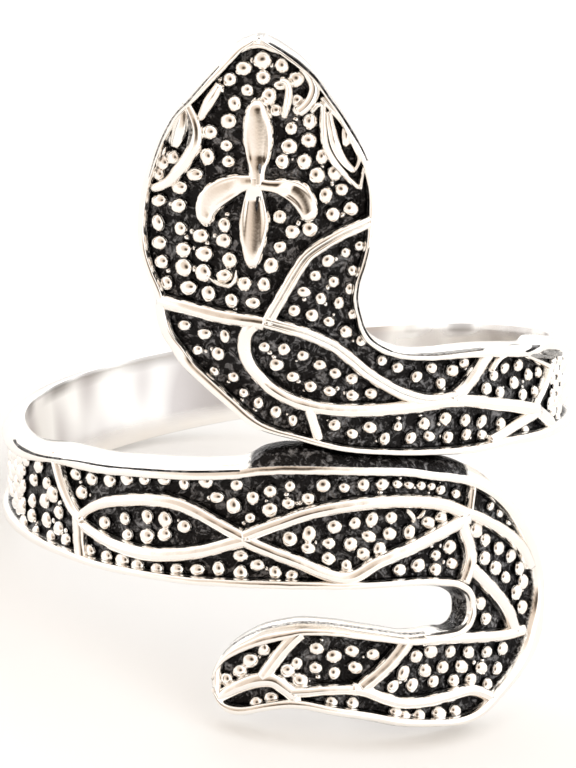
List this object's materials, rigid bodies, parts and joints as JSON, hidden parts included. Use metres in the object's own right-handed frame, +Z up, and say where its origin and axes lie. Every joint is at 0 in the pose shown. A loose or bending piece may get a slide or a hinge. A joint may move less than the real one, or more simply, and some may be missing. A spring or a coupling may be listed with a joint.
{
  "type": "snake wrap ring",
  "caption": "Cast silver finger ring shaped as a coiled snake: flat beaded head with a flower, two rows across the front and a tail that turns back.",
  "frame": {"origin": "middle of the bounding box, on the surface that the ring rests on", "axes": "+Z up, -Y towards the front where the head and the tail lie, +X to the side where the tail turns back; the finger axis leans back 20 degrees and 8.6 degrees to -X"},
  "size_m": [0.022, 0.0246, 0.0261],
  "materials": {
    "antiqued_silver": "polished silver rims, ridges, petals and granules over blackened sunk ground"
  },
  "bodies": {
    "root": {"snake_ring": "antiqued_silver"}
  },
  "joints": []
}
